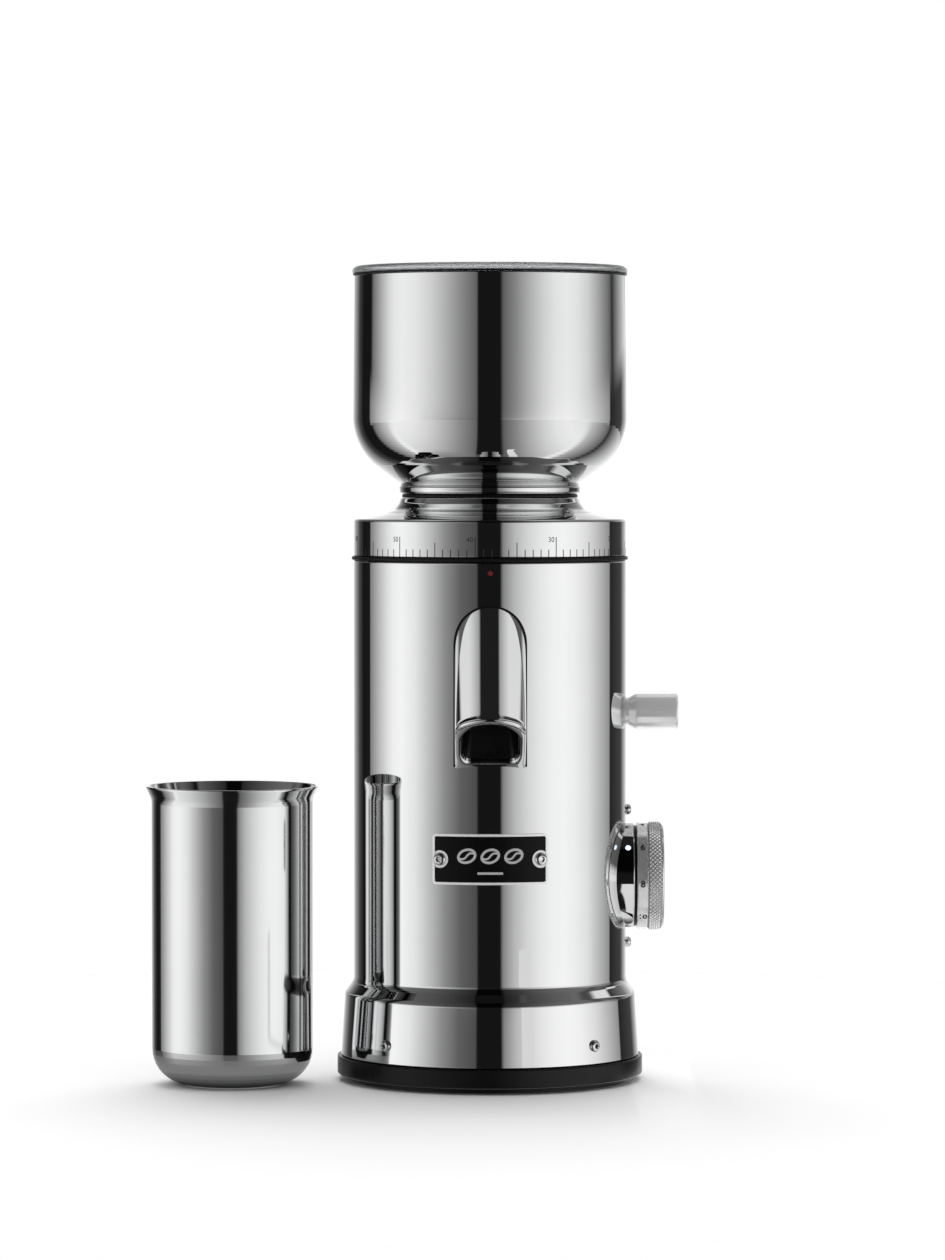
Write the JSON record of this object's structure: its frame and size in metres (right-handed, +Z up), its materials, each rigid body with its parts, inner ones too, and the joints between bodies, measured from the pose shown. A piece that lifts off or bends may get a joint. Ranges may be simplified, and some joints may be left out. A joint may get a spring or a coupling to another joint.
{
  "type": "burr coffee grinder",
  "caption": "Upright polished-steel electric burr grinder with bean hopper, grind dial, front spout, side selector knob and lever, and a separate grounds cup.",
  "frame": {"origin": "centre of the underside of the rubber foot, on the grinder's vertical axis", "axes": "+Z up along the grinder's axis, -Y to the front where the spout points, +X to the side with the knob and the lever"},
  "size_m": [0.2074, 0.1641, 0.3184],
  "materials": {
    "polished_steel": "mirror-polished stainless steel",
    "machined_steel": "fine turned",
    "zinc_plate": "dull zinc plate",
    "black_plastic": "fine moulded grain",
    "black_rubber": "matt",
    "smoked_plastic": "clear, lightly smoked",
    "nameplate_black": "smooth satin black",
    "signal_red": "smooth",
    "lamp_white": "clear lens, cool white",
    "grey_plastic": "moulded",
    "circuit_board": "lacquered laminate",
    "white_nylon": "moulded nylon"
  },
  "bodies": {
    "grinder": {"foot_pad": "black_rubber", "base_ring": "black_plastic", "bottom_cover": "black_plastic", "chassis_plate": "zinc_plate", "housing": "polished_steel", "dial_seal": "black_rubber", "index_dot": "signal_red", "spout": "polished_steel", "spout_gasket": "black_rubber", "nameplate_frame": "polished_steel", "nameplate_field": "nameplate_black", "nameplate_screw_left": "polished_steel", "nameplate_screw_right": "polished_steel", "selector_screw_lower": "polished_steel", "selector_screw_upper": "polished_steel", "skirt_screw_1": "polished_steel", "skirt_screw_2": "polished_steel", "skirt_screw_3": "polished_steel", "skirt_screw_4": "polished_steel", "cord_gland": "black_rubber", "selector_bezel": "polished_steel", "selector_lamp": "lamp_white", "selector_gap_ring": "black_plastic", "selector_potentiometer": "grey_plastic", "lever_pin": "machined_steel", "lever_bracket": "zinc_plate", "lever_switch": "grey_plastic", "column_1": "zinc_plate", "column_2": "zinc_plate", "column_3": "zinc_plate", "column_nut_1": "machined_steel", "column_nut_2": "machined_steel", "column_nut_3": "machined_steel", "gear_plate": "zinc_plate", "lower_bearing": "machined_steel", "gear_cover": "white_nylon", "burr_chamber": "zinc_plate", "upper_bearing": "machined_steel", "control_board": "circuit_board", "motor_can": "zinc_plate", "motor_end_bell": "black_plastic"},
    "dial": {"grind_dial": "polished_steel", "adjuster_collar": "machined_steel"},
    "upper_burr_set": {"upper_burr": "machined_steel", "upper_burr_carrier": "machined_steel"},
    "burr_shaft_set": {"burr_shaft": "machined_steel", "drive_gear": "white_nylon", "lower_burr_carrier": "machined_steel", "lower_burr": "machined_steel", "feed_impeller": "machined_steel"},
    "motor_rotor_set": {"motor_rotor": "machined_steel", "motor_pinion": "machined_steel"},
    "selector": {"selector_knob": "polished_steel", "selector_shaft": "machined_steel"},
    "lever": {"lever_handle": "polished_steel"},
    "hopper_set": {"hopper": "polished_steel", "hopper_gasket": "black_rubber", "lid_seal": "black_rubber"},
    "lid_set": {"lid": "smoked_plastic"},
    "cup": {"grounds_cup": "polished_steel"}
  },
  "joints": [
    {"name": "dial_turn", "type": "hinge", "parent": "grinder", "child": "dial", "pos_m": [0, 0, 0.212], "axis": [0, 0, 1], "range_deg": [-132, 75]},
    {"name": "upper_burr_travel", "type": "slide", "parent": "grinder", "child": "upper_burr_set", "axis": [0, 0, 1], "range_m": [-0.0006, 0.00035]},
    {"name": "shaft_spin", "type": "hinge", "parent": "grinder", "child": "burr_shaft_set", "pos_m": [0, 0, 0.15], "axis": [0, 0, 1], "continuous": true},
    {"name": "motor_spin", "type": "hinge", "parent": "grinder", "child": "motor_rotor_set", "pos_m": [0, 0.0224, 0.1], "axis": [0, 0, 1], "continuous": true},
    {"name": "selector_turn", "type": "hinge", "parent": "grinder", "child": "selector", "pos_m": [0.06, 0, 0.0795], "axis": [1, 0, 0], "range_deg": [-81, 81]},
    {"name": "lever_tilt", "type": "hinge", "parent": "grinder", "child": "lever", "pos_m": [0.05, 0, 0.144], "axis": [0, 1, 0], "range_deg": [-6, 6], "stiffness_Nm_per_rad": 0.4},
    {"name": "hopper_lift", "type": "slide", "parent": "dial", "child": "hopper_set", "axis": [0, 0, 1], "range_m": [0, 0.05]},
    {"name": "lid_lift", "type": "slide", "parent": "hopper_set", "child": "lid_set", "axis": [0, 0, 1], "range_m": [0, 0.06]},
    {"name": "cup_swing", "type": "hinge", "parent": "grinder", "child": "cup", "pos_m": [0, 0.01255, 0], "axis": [0, 0, 1], "range_deg": [0, 72.5]}
  ],
  "couplings": [
    {"joint": "upper_burr_travel", "follows": "dial_turn", "m_per_rad": 0.0002387},
    {"joint": "motor_spin", "follows": "shaft_spin", "ratio": -3.6667}
  ]
}
